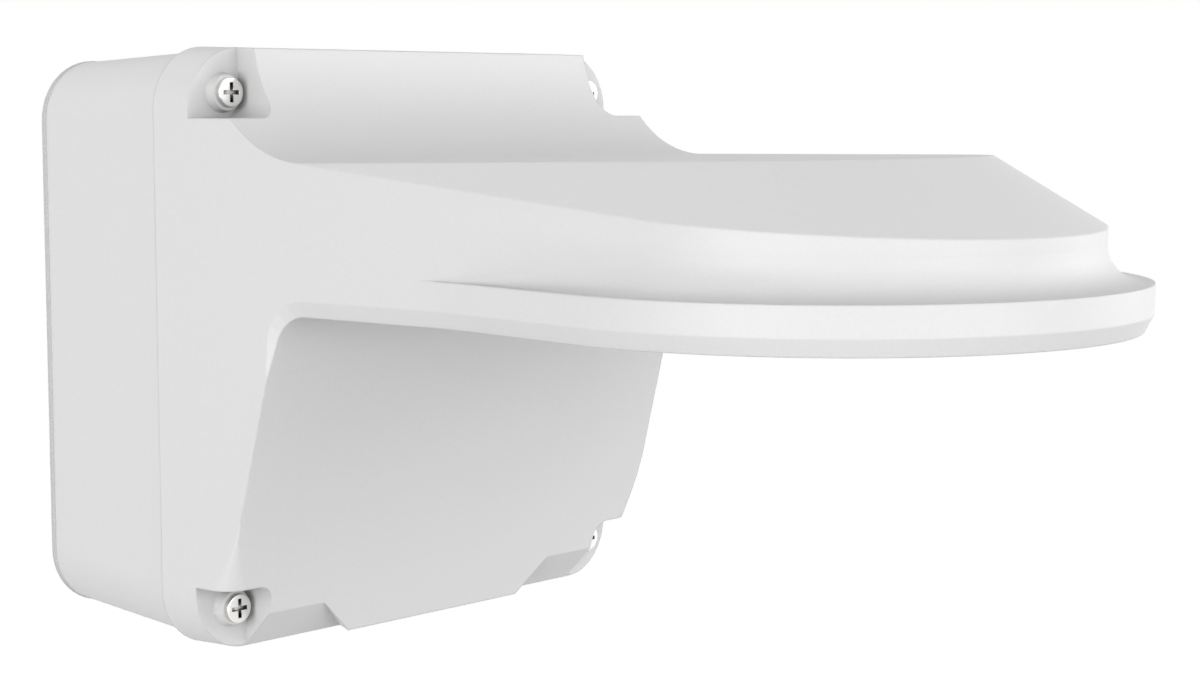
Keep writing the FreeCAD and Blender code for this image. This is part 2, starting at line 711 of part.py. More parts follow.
def build_cover():
    form = cover_form("cover_outer", as_size(0), D.seam_depth, D.cover_width / 2,
                      D.cover_front_height / 2, [(-D.face_foot_depth, -D.cover_front_height / 2)])
    rimmed = add_rim(form)
    start = face_depth(D.arm_bottom, as_size(0))
    start = start + D.inner_fillet / tangent((D.face_angle + 90) / 2)
    run_out, corner = chamfer_run_out(start), face_corner()
    tools = [rim_chamfer(start), run_out, mirrored("run_out_right", run_out), corner,
             mirrored("face_corner_right", corner), cover_pockets()]
    carved = cut("cover_carved", rimmed, tools)
    flanged = fuse("cover_flanged", [carved, cover_flange()] + ring_of_seats())
    solid = cut("cover_solid", flanged, [foot_chamfers(), cover_hollow()])
    bosses = [round_bar("camera_boss_%d" % number, D.camera_boss / 2, D.arm_bottom + 1,
                        D.camera_boss_top, place, FLOOR)
              for number, place in enumerate(camera_places(), 1)]
    middle = (as_size(0), -D.plate_depth)
    pad_top = D.arm_bottom + D.plate_recess_depth + D.cover_wall
    bosses.append(round_bar("plate_pad", D.plate_pad / 2, D.arm_bottom + 1, pad_top, middle, FLOOR))
    bossed = fuse("cover_bossed", [solid] + bosses)
    holes = [round_bar("cover_screw_hole_%d" % number, D.cover_screw_hole / 2, D.seam_depth - 1,
                       D.pocket_floor + D.boss_height + 1,
                       (D.screw_spacing / 2 * across, D.screw_spacing / 2 * up))
             for number, (across, up) in enumerate(screw_places(), 1)]
    holes += [round_bar("camera_hole_%d" % number, D.camera_hole / 2, D.arm_bottom - 1,
                        D.camera_boss_top - 2, place, FLOOR)
              for number, place in enumerate(camera_places(), 1)]
    holes.append(round_bar("plate_hole", D.plate_hole / 2, D.arm_bottom - 1, pad_top + 1,
                           middle, FLOOR))
    holes.append(round_bar("plate_recess", D.plate_recess / 2, D.arm_bottom - 1,
                           D.arm_bottom + D.plate_recess_depth, middle, FLOOR))
    inner, outer = D.relief_inner, D.relief_outer
    relief = [
        (-outer, -D.plate_depth),
        (as_size(0), -(D.plate_depth + outer), outer, 1),
        (outer, -D.plate_depth, outer, 1),
        (inner, -D.plate_depth),
        (as_size(0), -(D.plate_depth + inner), inner, -1),
        (-inner, -D.plate_depth, inner, -1),
    ]
    holes.append(extrude("rim_relief", sketch_on("rim_relief_plan", FLOOR, [relief],
                                                 D.arm_bottom - 1), D.relief_depth + 1))
    return cut("arm_cover", bossed, holes)


def build_gasket():
    """The sheet between box and wall, with holes for the cable and the wall screws."""
    half = D.box_back_width / 2
    plan = sketch_on("gasket_plan", FRONT, [rounded_square(half, D.box_corner)], as_size(0))
    sheet = extrude("gasket_sheet", plan, D.gasket_thick)
    past = D.gasket_thick + 1
    holes = [round_bar("gasket_hole_%d" % number, D.wall_hole / 2, as_size(-1), past, place)
             for number, place in enumerate(wall_places(), 1)]
    holes.append(round_bar("gasket_cable_hole", D.rear_hole / 2 + 3, as_size(-1), past,
                           (as_size(0), as_size(0))))
    return cut("wall_gasket", sheet, holes)


def wall_places():
    """The four wall screw holes, across and up."""
    return [(D.wall_holes / 2 * across, D.wall_holes / 2 * up) for across, up in screw_places()]


def seal_loop(name, low, high):
    """The seal's path as a solid between two depths."""
    loops = []
    for label, shift in (("outer", D.seal_width / 2), ("inner", -D.seal_width / 2)):
        outline = rounded_square(D.seal_half + shift, D.seal_corner + shift)
        plan = sketch_on("%s_%s_plan" % (name, label), FRONT, [outline], low)
        loops.append(extrude("%s_%s" % (name, label), plan, high - low))
    return cut(name, loops[0], [loops[1]])


def build_box():
    """The junction box: drafted walls, solid corners for the screws, cable and conduit holes."""
    back, front = D.box_back_width / 2, D.box_front_width / 2
    floor = D.gasket_thick + D.box_floor
    outside = rounded_block("box_outside", (back,) * 3, (front,) * 3, D.gasket_thick,
                           D.seam_depth, D.box_corner)
    land = conduit_bar("conduit_land", D.conduit_land / 2, -(front + 0.7), -(front - 4))
    narrow = (D.seam_depth - floor) * tangent(D.cavity_draft)
    wide = tangent(D.cavity_draft)
    half = D.cavity_width / 2
    inside = rounded_block("box_inside", (half - narrow,) * 3, (half + wide,) * 3, floor,
                           D.seam_depth + 1, D.cavity_corner)
    hollow = cut("box_hollow", fuse("box_landed", [outside, land]), [inside])
    pads = [round_bar("wall_pad_%d" % number, D.wall_pad / 2, floor - 1,
                      floor + D.wall_pad_height, place)
            for number, place in enumerate(wall_places(), 1)]
    pads.append(round_bar("earth_boss", D.earth_boss / 2, floor - 1, floor + D.earth_boss_height,
                          earth_place()))
    holes = [seal_loop("seal_groove", D.seam_depth - D.seal_thick, D.seam_depth + 1)]
    for number, (across, up) in enumerate(screw_places(), 1):
        place = (D.screw_spacing / 2 * across, D.screw_spacing / 2 * up)
        holes.append(round_bar("box_screw_hole_%d" % number, D.screw_hole / 2,
                               D.seam_depth - D.screw_hole_depth, D.seam_depth + 1, place))
        holes.append(round_bar("box_core_%d" % number, D.lug_core / 2, D.gasket_thick - 1,
                               D.gasket_thick + D.lug_core_depth, place))
    for number, place in enumerate(wall_places(), 1):
        holes.append(round_bar("wall_hole_%d" % number, D.wall_hole / 2, D.gasket_thick - 1,
                               floor + D.wall_pad_height + 1, place))
    holes.append(round_bar("rear_hole", D.rear_hole / 2, D.gasket_thick - 1, floor + 1,
                           (as_size(0), as_size(0))))
    holes.append(round_bar("earth_hole", D.screw_hole / 2, floor + 1,
                           floor + D.earth_boss_height + 1, earth_place()))
    holes.append(conduit_bar("conduit_hole", D.conduit_bore / 2, -(front + 2), -(front - 12)))
    return cut("back_box", fuse("box_padded", [hollow] + pads), holes)


def conduit_bar(name, radius, low, high):
    """A cylinder on the conduit entry's axis."""
    return round_bar(name, radius, low, high, (as_size(0), -D.conduit_depth), FLOOR)


def earth_place():
    """The earth point in the box, across and up."""
    return as_size(0), -D.earth_drop


class Body:
    """A PartDesign body with its sketches attached to its own origin planes."""

    def __init__(self, name):
        self.body = DOC.addObject("PartDesign::Body", name)

    def sketch(self, name, role, outlines, offset=0.0):
        plane = [f for f in self.body.Origin.OriginFeatures if f.Role == role][0]
        sketch = self.body.newObject("Sketcher::SketchObject", name)
        sketch.AttachmentSupport = [(plane, "")]
        sketch.MapMode = "FlatFace"
        sketch.AttachmentOffset = Placement(Vector(0, 0, offset), Rotation())
        for corners in outlines:
            draw(sketch, corners)
        return sketch

    def revolve(self, name, outline):
        """A solid turned about the body's Z axis."""
        profile = self.sketch(name + "_profile", "XZ_Plane", [outline])
        turned = self.body.newObject("PartDesign::Revolution", name)
        turned.Profile = profile
        turned.ReferenceAxis = (profile, ["V_Axis"])
        turned.Angle = 360
        self.body.Tip = turned
        DOC.recompute()
        return turned

    def pocket(self, name, outline, top, depth, upward=False):
        """A pocket that goes down from a level, or up from it."""
        profile = self.sketch(name + "_profile", "XY_Plane", [outline], top)
        pocket = self.body.newObject("PartDesign::Pocket", name)
        pocket.Profile = profile
        bind(pocket, "Length", depth)
        pocket.Reversed = upward
        self.body.Tip = pocket
        DOC.recompute()
        return pocket

    def place(self, x, y, z, turn):
        self.body.Placement = Placement(Vector(), turn)
        for axis, size in zip("xyz", (x, y, z)):
            bind(self.body, "Placement.Base." + axis, size)


def cross(length, width):
    """Outline of a cross recess."""
    a, b = length / 2, width / 2
    return [(a, -b), (a, b), (b, b), (b, a), (-b, a), (-b, b), (-a, b), (-a, -b), (-b, -b),
            (-b, -a), (b, -a), (b, -b)]


def screw(name, length, place, neck=None):
    """Pan head screw with a cross recess, its head's underside on the body's XY plane. With neck,
    its thread starts that far down, under a narrower waist."""
    head, top, shank = D.head_size / 2, D.head_height, D.shank_size / 2
    under = [(shank, as_size(0))]
    if neck is not None:
        waist = D.waist_size / 2
        under = [(shank, -neck), (waist, -neck), (waist, as_size(0))]
    body = Body(name)
    body.revolve(name + "_turned", [(as_size(0), -length), (shank, -length)] + under
                 + [(head, as_size(0)), (head, top), (as_size(0), top)])
    body.pocket(name + "_recess", cross(D.recess_length, D.recess_width), top.value,
                D.recess_depth)
    body.place(*place, FRONT)
    return body.body


def build_screws():
    """The cover screws. Their waist lies in the cover's tapped holes, their thread in the box."""
    names = ("cover_screw_top_left", "cover_screw_top_right",
             "cover_screw_bottom_left", "cover_screw_bottom_right")
    seat = D.pocket_floor + D.boss_height
    neck = seat - D.seam_depth + 0.3
    bodies = []
    for name, (across, up) in zip(names, screw_places()):
        place = (D.screw_spacing / 2 * across, -seat, D.screw_spacing / 2 * up)
        bodies.append(screw(name, D.screw_length, place, neck))
    return bodies


def ring(name, inner, outer, low, high, place, turn):
    """A flat ring as a body turned about its axis."""
    body = Body(name)
    body.revolve(name + "_turned", [(inner, low), (outer, low), (outer, high), (inner, high)])
    body.place(*place, turn)
    return body.body


def build_earth_point():
    top = D.gasket_thick + D.box_floor + D.earth_boss_height
    across, up = earth_place()
    washer = ring("earth_washer", D.shank_size / 2 + 0.15, as_size(4.4), as_size(0), as_size(0.8),
                  (across, -top, up), FRONT)
    return [washer, screw("earth_screw", as_size(7), (across, -(top + 0.8), up))]


def grommet(name, neck, low, high, lip, thick_low, thick_high, place, turn):
    """A rubber ring whose groove holds the edge of a hole, from low to high along its axis."""
    bore = D.grommet_bore / 2
    body = Body(name)
    body.revolve(name + "_turned", [
        (bore, low - thick_low),
        (neck + lip, low - thick_low),
        (neck + lip, low),
        (neck, low),
        (neck, high),
        (neck + lip, high),
        (neck + lip, high + thick_high),
        (bore, high + thick_high),
    ])
    body.place(*place, turn)
    return body.body


def build_grommets():
    zero = as_size(0)
    rear = grommet("rear_grommet", D.rear_hole / 2, D.gasket_thick,
                   D.gasket_thick + D.box_floor, as_size(2.2), as_size(1.6), as_size(2.5),
                   (zero, zero, zero), FRONT)
    seat = D.arm_bottom + D.plate_recess_depth
    plate = grommet("plate_grommet", D.plate_hole / 2, seat, seat + D.cover_wall,
                    as_size(2.5), as_size(1.6), as_size(2.2), (zero, -D.plate_depth, zero), FLOOR)
    return [rear, plate]


def build_plug():
    """The conduit plug with its seal ring; it is screwed in from below."""
    land = -(D.box_front_width / 2 + 0.7)
    ring_thick = as_size(1.5)
    seat = land - ring_thick
    head, thread = D.plug_head / 2, D.conduit_bore / 2 - 0.1
    bottom = seat - D.plug_head_thick
    body = Body("conduit_plug")
    body.revolve("plug_turned", [
        (as_size(0), bottom),
        (head, bottom),
        (head, seat),
        (thread, seat),
        (thread, seat + D.plug_length),
        (as_size(0), seat + D.plug_length),
    ])
    flat = as_size(6)
    point = flat / cosine(as_size(30))
    hexagon = [(point * cosine(as_size(60 * k)), point * sine(as_size(60 * k))) for k in range(6)]
    body.pocket("plug_socket", hexagon, bottom.value, as_size(6), upward=True)
    place = (as_size(0), -D.conduit_depth, as_size(0))
    body.place(*place, FLOOR)
    loop = ring("conduit_plug_ring", D.conduit_bore / 2, head - 0.8, seat, land, place, FLOOR)
    return [body.body, loop]


def problems():
    """Names of objects that failed or whose solid is broken."""
    found = []
    for thing in DOC.Objects:
        shape = getattr(thing, "Shape", None)
        broken = shape is not None and (shape.isNull() or not shape.isValid())
        if broken or "Invalid" in thing.State or "Error" in thing.State:
            found.append(thing.Name)
    return found


def main():
    pieces = [build_gasket(), build_box(), build_cover()]
    pieces.append(seal_loop("lid_seal", D.seam_depth - D.seal_thick, D.seam_depth))
    pieces += build_screws() + build_grommets() + build_plug() + build_earth_point()
    DOC.recompute()
    broken = problems()
    if broken:
        raise RuntimeError("these objects failed: " + ", ".join(broken))
    os.makedirs("parts", exist_ok=True)
    for piece in pieces:
        piece.Label = piece.Name
        solids = len(piece.Shape.Solids)
        if solids != 1:
            raise RuntimeError("%s has %d solids" % (piece.Name, solids))
        piece.Shape.exportStep("parts/%s.step" % piece.Name)


main()
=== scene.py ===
import math

import bpy
import numpy as np
from mathutils import Matrix, Vector


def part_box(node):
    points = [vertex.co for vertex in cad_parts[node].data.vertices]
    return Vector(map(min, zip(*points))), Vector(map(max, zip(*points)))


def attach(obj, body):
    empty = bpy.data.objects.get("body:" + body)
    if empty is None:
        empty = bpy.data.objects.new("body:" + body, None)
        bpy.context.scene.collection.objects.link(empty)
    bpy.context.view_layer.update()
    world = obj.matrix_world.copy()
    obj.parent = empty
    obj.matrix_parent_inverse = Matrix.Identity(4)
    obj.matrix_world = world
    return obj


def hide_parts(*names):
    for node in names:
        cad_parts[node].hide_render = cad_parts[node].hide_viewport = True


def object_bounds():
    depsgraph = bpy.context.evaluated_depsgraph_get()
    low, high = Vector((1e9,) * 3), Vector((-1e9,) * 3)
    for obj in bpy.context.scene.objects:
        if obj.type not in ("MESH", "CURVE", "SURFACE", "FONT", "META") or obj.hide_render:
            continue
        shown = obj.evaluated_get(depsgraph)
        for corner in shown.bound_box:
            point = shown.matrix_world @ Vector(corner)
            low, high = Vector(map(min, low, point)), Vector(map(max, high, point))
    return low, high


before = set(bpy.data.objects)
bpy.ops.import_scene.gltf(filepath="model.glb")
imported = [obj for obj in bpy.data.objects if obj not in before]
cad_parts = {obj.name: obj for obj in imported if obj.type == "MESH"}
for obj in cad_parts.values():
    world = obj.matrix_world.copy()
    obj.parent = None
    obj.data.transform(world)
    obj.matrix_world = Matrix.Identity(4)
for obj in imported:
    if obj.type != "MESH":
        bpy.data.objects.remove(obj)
bpy.context.view_layer.update()
CAD_BOX = [list(corner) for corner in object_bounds()]

bl_info = {
    "name": "Camera Bracket Finish",
    "version": (1, 0, 0),
    "blender": (4, 5, 0),
    "location": "3D View > Sidebar > Bracket",
    "description": "Dresses the cast wall bracket in powder coat, foam, rubber and nickel",
    "category": "Object",
}

MM = 0.001
SHARP_SOLID = 35  # edges of pins and plugs steeper than this stay crisp, in degrees
SHARP_SOFT = 50  # the same for foam and rubber
CASTINGS = ("arm_cover", "back_box")
SCREWS = ("cover_screw_top_left", "cover_screw_top_right",
          "cover_screw_bottom_left", "cover_screw_bottom_right", "earth_screw")
SEALS = ("lid_seal", "conduit_plug_ring")

# A turned piece's own axes: the first two lie across its axis, the third points out of its face.
OUT_OF_WALL = Matrix(((1, 0, 0), (0, 0, -1), (0, 1, 0)))
DOWNWARDS = Matrix(((1, 0, 0), (0, -1, 0), (0, 0, -1)))


def linear(hex_colour):
    """An sRGB hex colour as linear RGBA, by the sRGB curve."""
    parts = np.array([int(hex_colour[i:i + 2], 16) / 255 for i in (1, 3, 5)])
    curve = np.where(parts <= 0.04045, parts / 12.92, ((parts + 0.055) / 1.055) ** 2.4)
    return (*curve, 1.0)


def add_node(tree, kind, settings=None, links=None):
    """Add one node. A setting is a property or, where there is none, an input's value; a link
    is an output that goes into the named input."""
    node = tree.nodes.new(kind)
    for name, value in (settings or {}).items():
        if hasattr(node, name):
            setattr(node, name, value)
        else:
            node.inputs[name].default_value = value
    for name, source in (links or {}).items():
        tree.links.new(source, node.inputs[name])
    return node


def new_material(name):
    """A material with only its output, and that output."""
    material = bpy.data.materials.new(name)
    material.use_nodes = True
    material.node_tree.nodes.clear()
    return material, add_node(material.node_tree, "ShaderNodeOutputMaterial")


def fine_noise(tree, millimetres, detail=2.0, roughness=0.5):
    """Noise whose lumps are so many millimetres wide, on object coordinates."""
    place = add_node(tree, "ShaderNodeTexCoord")
    return add_node(tree, "ShaderNodeTexNoise",
                    {"Scale": 1 / (millimetres * MM), "Detail": detail, "Roughness": roughness},
                    {"Vector": place.outputs["Object"]})


def openness(tree, millimetres):
    """1 on open faces and less in hollows, by how free the surface is so far around."""
    free = add_node(tree, "ShaderNodeAmbientOcclusion",
                    {"samples": 8, "only_local": True, "Distance": millimetres * MM})
    return free.outputs["AO"]


def powder_coated_aluminium(look):
    """Die-cast aluminium under a baked white powder coat: an even, slightly rough white with a
    fine orange peel from the powder's flow, and cast edges that the coat rounds off. Hollows
    get a painted shade: the coat's colour is mixed towards a grey where the surface is hemmed in."""
    material, output = new_material("powder_coated_aluminium")
    tree = material.node_tree
    # The real grain is about a quarter of a millimetre wide, too fine to show, so it is drawn
    # about three times as coarse.
    grain = fine_noise(tree, look.grain_size, 3.0, 0.6)
    flow = fine_noise(tree, look.flow_size, 2.0, 0.4)
    # The coat is a little greyer in its pits; the shift is so small that it only breaks the flat.
    tone = add_node(tree, "ShaderNodeMix", {"data_type": "RGBA"}, {"Factor": grain.outputs["Fac"]})
    tone.inputs["A"].default_value = linear(look.pit_colour)
    tone.inputs["B"].default_value = linear(look.coat_colour)
    # Painted shade: the coat's colour is mixed towards a grey in hollows, by how hemmed in the
    # surface is.
    cover = add_node(tree, "ShaderNodeMix", {"data_type": "RGBA"},
                     {"Factor": openness(tree, look.hollow_shade_reach), "B": tone.outputs["Result"]})
    cover.inputs["A"].default_value = linear(look.hollow_shade_colour)
    smoother, rougher = look.roughness - 0.04, look.roughness + 0.05
    gloss = add_node(tree, "ShaderNodeMapRange", {"To Min": smoother, "To Max": rougher},
                     {"Value": flow.outputs["Fac"]})
    edge = add_node(tree, "ShaderNodeBevel", {"samples": 8, "Radius": look.edge_radius * MM})
    peel = add_node(tree, "ShaderNodeBump",
                    {"Strength": look.flow_strength, "Distance": look.flow_height * MM},
                    {"Height": flow.outputs["Fac"], "Normal": edge.outputs["Normal"]})
    sand = add_node(tree, "ShaderNodeBump",
                    {"Strength": look.grain_strength, "Distance": look.grain_height * MM},
                    {"Height": grain.outputs["Fac"], "Normal": peel.outputs["Normal"]})
    shader = add_node(tree, "ShaderNodeBsdfPrincipled", {"IOR": 1.5},
                      {"Base Color": cover.outputs["Result"], "Roughness": gloss.outputs["Result"],
                       "Normal": sand.outputs["Normal"]})
    tree.links.new(shader.outputs["BSDF"], output.inputs["Surface"])
    return material


def closed_cell_foam(look):
    """Die-cut polyethylene foam: matt grey, with closed cells of half a millimetre that its cut
    edges lay open."""
    material, output = new_material("closed_cell_foam")
    tree = material.node_tree
    place = add_node(tree, "ShaderNodeTexCoord")
    cells = add_node(tree, "ShaderNodeTexVoronoi", {"Scale": 1 / (look.cell_size * MM)},
                     {"Vector": place.outputs["Object"]})
    shade = add_node(tree, "ShaderNodeMix", {"data_type": "RGBA"},
                     {"Factor": cells.outputs["Distance"]})
    shade.inputs["A"].default_value = linear(look.cell_colour)
    shade.inputs["B"].default_value = linear(look.foam_colour)
    pit_depth = 0.1 * MM
    pits = add_node(tree, "ShaderNodeBump", {"Strength": 0.35, "Distance": pit_depth},
                    {"Height": cells.outputs["Distance"]})
    shader = add_node(tree, "ShaderNodeBsdfPrincipled", {"Roughness": 0.9, "IOR": 1.45},
                      {"Base Color": shade.outputs["Result"], "Normal": pits.outputs["Normal"]})
    tree.links.new(shader.outputs["BSDF"], output.inputs["Surface"])
    return material


def moulded_rubber(name, look, bloom):
    """Compression-moulded black rubber: nearly black, with the mould's fine erosion and, by
    bloom, a grey haze of wax that has come to the surface."""
    material, output = new_material(name)
    tree = material.node_tree
    haze_width, erosion_width, erosion_depth = 9.0, 0.35, 0.04 * MM
    haze = fine_noise(tree, haze_width, 4.0, 0.6)
    # A mould's erosion is about a tenth of a millimetre wide, and is drawn coarser to show.
    erosion = fine_noise(tree, erosion_width)
    shade = add_node(tree, "ShaderNodeMix", {"data_type": "RGBA"}, {"Factor": haze.outputs["Fac"]})
    shade.inputs["A"].default_value = linear(look.rubber_colour)
    shade.inputs["B"].default_value = linear(bloom)
    gloss = add_node(tree, "ShaderNodeMapRange", {"To Min": 0.5, "To Max": 0.68},
                     {"Value": haze.outputs["Fac"]})
    skin = add_node(tree, "ShaderNodeBump", {"Strength": 0.2, "Distance": erosion_depth},
                    {"Height": erosion.outputs["Fac"]})
    shader = add_node(tree, "ShaderNodeBsdfPrincipled", {"IOR": 1.5},
                      {"Base Color": shade.outputs["Result"], "Roughness": gloss.outputs["Result"],
                       "Normal": skin.outputs["Normal"]})
    tree.links.new(shader.outputs["BSDF"], output.inputs["Surface"])
    return material


def nickel_plated_steel(look):
    """Cold-headed steel with bright nickel plate: a warm light metal, smooth, with faint marks of
    the heading die a few tenths of a millimetre wide, and a painted shade in its recess, which
    is darkened towards a near black where it is hemmed in."""
    material, output = new_material("nickel_plated_steel")
    tree = material.node_tree
    mark_width, mark_depth, recess_shade_reach = 0.3, 0.02 * MM, 1.5
    marks = fine_noise(tree, mark_width, 3.0, 0.6)
    smoother, rougher = look.roughness - 0.05, look.roughness + 0.08
    gloss = add_node(tree, "ShaderNodeMapRange", {"To Min": smoother, "To Max": rougher},
                     {"Value": marks.outputs["Fac"]})
    # Painted shade: the recess's colour is mixed towards a near black by how hemmed in it is.
    unshaded = add_node(tree, "ShaderNodeMapRange", {"From Min": 0.25, "From Max": 0.8},
                      {"Value": openness(tree, recess_shade_reach)})
    tone = add_node(tree, "ShaderNodeMix", {"data_type": "RGBA"},
                    {"Factor": unshaded.outputs["Result"]})
    tone.inputs["A"].default_value = linear(look.recess_shade_colour)
    tone.inputs["B"].default_value = linear(look.nickel_colour)
    skin = add_node(tree, "ShaderNodeBump", {"Strength": 0.12, "Distance": mark_depth},
                    {"Height": marks.outputs["Fac"]})
    shader = add_node(tree, "ShaderNodeBsdfPrincipled", {"Metallic": 1.0},
                      {"Base Color": tone.outputs["Result"], "Roughness": gloss.outputs["Result"],
                       "Normal": skin.outputs["Normal"]})
    tree.links.new(shader.outputs["BSDF"], output.inputs["Surface"])
    return material


def seen_directly(tree):
    """1 for what the camera sees, itself or through a reflection or glass, and 0 for what only
    lights other things."""
    ray = add_node(tree, "ShaderNodeLightPath")
    seen = ray.outputs["Is Camera Ray"]
    for kind in ("Is Glossy Ray", "Is Transmission Ray"):
        either = add_node(tree, "ShaderNodeMath", {"operation": "MAXIMUM"})
        tree.links.new(seen, either.inputs[0])
        tree.links.new(ray.outputs[kind], either.inputs[1])
        seen = either.outputs["Value"]
    return seen


def wear(piece, material):
    """Give an object this one material."""
    piece.data.materials.clear()
    piece.data.materials.append(material)


def cross_reach(turn, length, width):
    """Distance from the middle to the edge of a cross recess, for directions as angles: the
    arms' ends lie at length / 2 and their flanks at width / 2."""
    across, up = np.abs(np.cos(turn)), np.abs(np.sin(turn))
    longer, shorter = np.maximum(across, up), np.minimum(across, up)
    return np.minimum(length / 2 / longer, width / 2 / np.maximum(shorter, 1e-9))


def hexagon_reach(turn, flats):
    """Distance from the middle to the edge of a hexagon, for directions as angles: half the
    width over flats, over the cosine of the angle to the nearest flat's middle."""
    return flats / 2 / np.cos(np.mod(turn, math.pi / 3) - math.pi / 6)


def round_corner(before, corner, after, radius, steps=4):
    """Points of the circle arc that rounds a corner of a profile. With half the corner's angle
    h, the arc starts and ends radius / tan(h) from the corner and turns by 180 degrees - 2h;
    its points are the two end spokes mixed by the sines of the turn left and the turn done."""
    corner = np.array(corner, float)
    start, end = np.array(before, float) - corner, np.array(after, float) - corner
    start, end = start / np.linalg.norm(start), end / np.linalg.norm(end)
    half = math.acos(np.clip(start @ end, -1, 1)) / 2
    middle = corner + (start + end) / np.linalg.norm(start + end) * radius / math.sin(half)
    spokes = corner + np.array([start, end]) * radius / math.tan(half) - middle
    turn = math.pi - 2 * half
    done = np.linspace(0, turn, steps + 1)[:, None]
    return middle + (np.sin(turn - done) * spokes[0] + np.sin(done) * spokes[1]) / math.sin(turn)


def rounded_profile(corners):
    """A profile from corners (radius, height, rounding), as an array of points."""
    points = []
    for index, (across, height, rounding) in enumerate(corners):
        if rounding:
            before, after = corners[index - 1][:2], corners[(index + 1) % len(corners)][:2]
            points.extend(round_corner(before, (across, height), after, rounding))
        else:
            points.append((across, height))
    return np.array(points)


def grid_faces(rings, turns, ring_closed):
    """Quads of a grid that is closed around, and also from last ring to first if ring_closed."""
    ring = np.arange(rings if ring_closed else rings - 1)[:, None]
    turn = np.arange(turns)[None, :]
    here, there = ring * turns, (ring + 1) % rings * turns
    beside = (turn + 1) % turns
    quads = np.stack([here + turn, here + beside, there + beside, there + turn], axis=-1)
    return quads.reshape(-1, 4)


def mesh_piece(name, points, quads, caps, centre, axes, sharp):
    """A mesh object from points in millimetres in a turned piece's own axes, at its place."""
    world = points * MM @ np.array(axes.transposed()) + np.array(centre)
    mesh = bpy.data.meshes.new(name)
    mesh.from_pydata(world.tolist(), [], [q.tolist() for q in quads] + caps)
    mesh.validate()
    mesh.polygons.foreach_set("use_smooth", np.ones(len(mesh.polygons), bool))
    mesh.set_sharp_from_angle(angle=math.radians(sharp))
    piece = bpy.data.objects.new(name, mesh)
    bpy.context.scene.collection.objects.link(piece)
    return piece


def turned_solid(name, outside, reach, floor, draft, centre, axes, turn):
    """A turned pin with a recess in its face. outside is the profile, from the far end's rim to
    the face; reach is the recess's edge as a distance for each angle in turn. Each ring is
    radius x (cos, sin) of the angle, and the inner rings take the reach as their radius: at the
    face, just below it where the edge is broken, and at the floor, drawn in by the draft."""
    edge = 0.06  # how far the recess's edge is broken, in millimetres
    face = outside[-1, 1]
    radii = np.repeat(outside[:, :1], len(turn), axis=1)
    heights = np.repeat(outside[:, 1:], len(turn), axis=1)
    inner = np.stack([reach + edge, reach, reach - draft])
    levels = np.array([face, face - edge, floor])[:, None] * np.ones(len(turn))
    radii, heights = np.vstack([radii, inner]), np.vstack([heights, levels])
    points = np.stack([radii * np.cos(turn), radii * np.sin(turn), heights], axis=-1)
    rings = len(radii)
    quads = grid_faces(rings, len(turn), False)
    first = list(range(len(turn)))[::-1]
    last = [(rings - 1) * len(turn) + index for index in range(len(turn))]
    return mesh_piece(name, points.reshape(-1, 3), quads, [first, last], centre, axes,
                      SHARP_SOLID)


def turned_ring(name, profile, centre, axes, turns=96):
    """A closed profile of (radius, height) carried round the axis: each point goes to radius x
    (cos, sin) of the angle, at its height."""
    turn = np.linspace(0, 2 * math.pi, turns, endpoint=False)
    radii, heights = profile[:, :1], profile[:, 1:] * np.ones(turns)
    points = np.stack([radii * np.cos(turn), radii * np.sin(turn), heights], axis=-1)
    quads = grid_faces(len(profile), turns, True)
    return mesh_piece(name, points.reshape(-1, 3), quads, [], centre, axes, SHARP_SOFT)


def weld(points, quads):
    """Join points that coincide, so that neighbouring grids share their border."""
    _, first, same = np.unique(np.round(points, 4), axis=0, return_index=True,
                               return_inverse=True)
    return points[first], same.reshape(-1)[quads]


